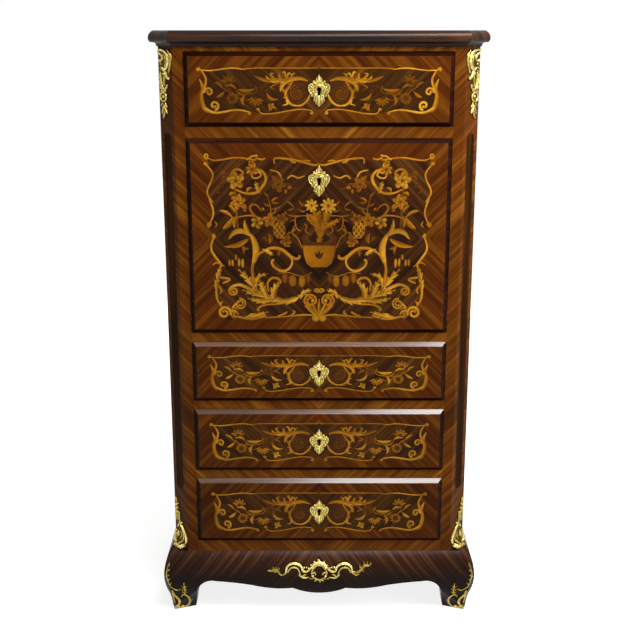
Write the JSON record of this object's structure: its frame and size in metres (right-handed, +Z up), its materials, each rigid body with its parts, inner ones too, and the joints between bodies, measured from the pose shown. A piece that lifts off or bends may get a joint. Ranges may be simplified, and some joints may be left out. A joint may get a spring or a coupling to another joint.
{
  "type": "escritoire",
  "caption": "Tall drop-front writing cabinet: moulded top, frieze drawer, hinged fall with leather writing surface, graduated drawers, canted corners, bombe base, gilt mounts and marquetry.",
  "frame": {"origin": "on the floor at the middle of the bounding box", "axes": "+Z up, -Y to the front where the drawers open, +X to the right seen from the front"},
  "size_m": [0.7716, 0.3962, 1.4],
  "materials": {
    "kingwood_veneer": "polished veneer with floral marquetry",
    "dark_polished_wood": "dark polished veneer",
    "oak_lining": "planed bare oak",
    "tulipwood_interior": "satin veneer",
    "gilt_bronze": "cast, chased and gilt",
    "lock_brass": "filed brass",
    "steel_bolt": "filed steel",
    "writing_leather": "brown leather with a gilt line"
  },
  "bodies": {
    "case": {"apron_mount": "gilt_bronze", "back_panel": "oak_lining", "base_rail": "kingwood_veneer", "bottom_board": "oak_lining", "compartment_ceiling": "oak_lining", "compartment_floor": "tulipwood_interior", "drawer_guides": "oak_lining", "dust_boards": "oak_lining", "fall_rail": "kingwood_veneer", "frieze_rail": "kingwood_veneer", "front_apron": "dark_polished_wood", "front_feet": "dark_polished_wood", "left_corner_post": "kingwood_veneer", "left_side": "kingwood_veneer", "lower_corner_mounts": "gilt_bronze", "lower_drawer_rail": "kingwood_veneer", "nest_cheeks": "tulipwood_interior", "nest_partitions": "tulipwood_interior", "nest_shelves": "tulipwood_interior", "pivot_plates": "lock_brass", "rear_feet": "dark_polished_wood", "right_corner_post": "kingwood_veneer", "right_side": "kingwood_veneer", "sabots": "gilt_bronze", "side_aprons": "dark_polished_wood", "top_board": "dark_polished_wood", "top_rail": "kingwood_veneer", "upper_corner_mounts": "gilt_bronze", "upper_drawer_rail": "kingwood_veneer"},
    "fall_bolt_body": {"fall_bolt": "steel_bolt"},
    "fall": {"fall_escutcheon": "gilt_bronze", "fall_lock": "lock_brass", "fall_panel": "kingwood_veneer", "fall_pivots": "lock_brass", "writing_leather": "writing_leather"},
    "frieze_drawer_bolt_body": {"frieze_drawer_bolt": "steel_bolt"},
    "frieze_drawer": {"frieze_drawer_box": "oak_lining", "frieze_drawer_escutcheon": "gilt_bronze", "frieze_drawer_front": "kingwood_veneer", "frieze_drawer_lock": "lock_brass"},
    "left_lower_small_drawer_body": {"left_lower_small_drawer": "tulipwood_interior"},
    "left_upper_small_drawer_body": {"left_upper_small_drawer": "tulipwood_interior"},
    "lower_drawer_bolt_body": {"lower_drawer_bolt": "steel_bolt"},
    "lower_drawer": {"lower_drawer_box": "oak_lining", "lower_drawer_escutcheon": "gilt_bronze", "lower_drawer_front": "kingwood_veneer", "lower_drawer_lock": "lock_brass"},
    "middle_drawer_bolt_body": {"middle_drawer_bolt": "steel_bolt"},
    "middle_drawer": {"middle_drawer_box": "oak_lining", "middle_drawer_escutcheon": "gilt_bronze", "middle_drawer_front": "kingwood_veneer", "middle_drawer_lock": "lock_brass"},
    "right_lower_small_drawer_body": {"right_lower_small_drawer": "tulipwood_interior"},
    "right_upper_small_drawer_body": {"right_upper_small_drawer": "tulipwood_interior"},
    "upper_drawer_bolt_body": {"upper_drawer_bolt": "steel_bolt"},
    "upper_drawer": {"upper_drawer_box": "oak_lining", "upper_drawer_escutcheon": "gilt_bronze", "upper_drawer_front": "kingwood_veneer", "upper_drawer_lock": "lock_brass"}
  },
  "joints": [
    {"name": "frieze_drawer_slide", "type": "slide", "parent": "case", "child": "frieze_drawer", "axis": [0, -1, 0], "range_m": [0, 0.24]},
    {"name": "upper_drawer_slide", "type": "slide", "parent": "case", "child": "upper_drawer", "axis": [0, -1, 0], "range_m": [0, 0.24]},
    {"name": "middle_drawer_slide", "type": "slide", "parent": "case", "child": "middle_drawer", "axis": [0, -1, 0], "range_m": [0, 0.24]},
    {"name": "lower_drawer_slide", "type": "slide", "parent": "case", "child": "lower_drawer", "axis": [0, -1, 0], "range_m": [0, 0.24]},
    {"name": "fall_hinge", "type": "hinge", "parent": "case", "child": "fall", "pos_m": [0, -0.15885, 0.75], "axis": [1, 0, 0], "range_deg": [0, 90]},
    {"name": "frieze_drawer_bolt_slide", "type": "slide", "parent": "frieze_drawer", "child": "frieze_drawer_bolt_body", "axis": [0, 0, 1], "range_m": [0, 0.007]},
    {"name": "upper_drawer_bolt_slide", "type": "slide", "parent": "upper_drawer", "child": "upper_drawer_bolt_body", "axis": [0, 0, 1], "range_m": [0, 0.007]},
    {"name": "middle_drawer_bolt_slide", "type": "slide", "parent": "middle_drawer", "child": "middle_drawer_bolt_body", "axis": [0, 0, 1], "range_m": [0, 0.007]},
    {"name": "lower_drawer_bolt_slide", "type": "slide", "parent": "lower_drawer", "child": "lower_drawer_bolt_body", "axis": [0, 0, 1], "range_m": [0, 0.007]},
    {"name": "fall_bolt_slide", "type": "slide", "parent": "fall", "child": "fall_bolt_body", "axis": [0, 0, 1], "range_m": [0, 0.007]},
    {"name": "left_lower_small_drawer_slide", "type": "slide", "parent": "case", "child": "left_lower_small_drawer_body", "axis": [0, -1, 0], "range_m": [0, 0.075]},
    {"name": "left_upper_small_drawer_slide", "type": "slide", "parent": "case", "child": "left_upper_small_drawer_body", "axis": [0, -1, 0], "range_m": [0, 0.075]},
    {"name": "right_lower_small_drawer_slide", "type": "slide", "parent": "case", "child": "right_lower_small_drawer_body", "axis": [0, -1, 0], "range_m": [0, 0.075]},
    {"name": "right_upper_small_drawer_slide", "type": "slide", "parent": "case", "child": "right_upper_small_drawer_body", "axis": [0, -1, 0], "range_m": [0, 0.075]}
  ]
}
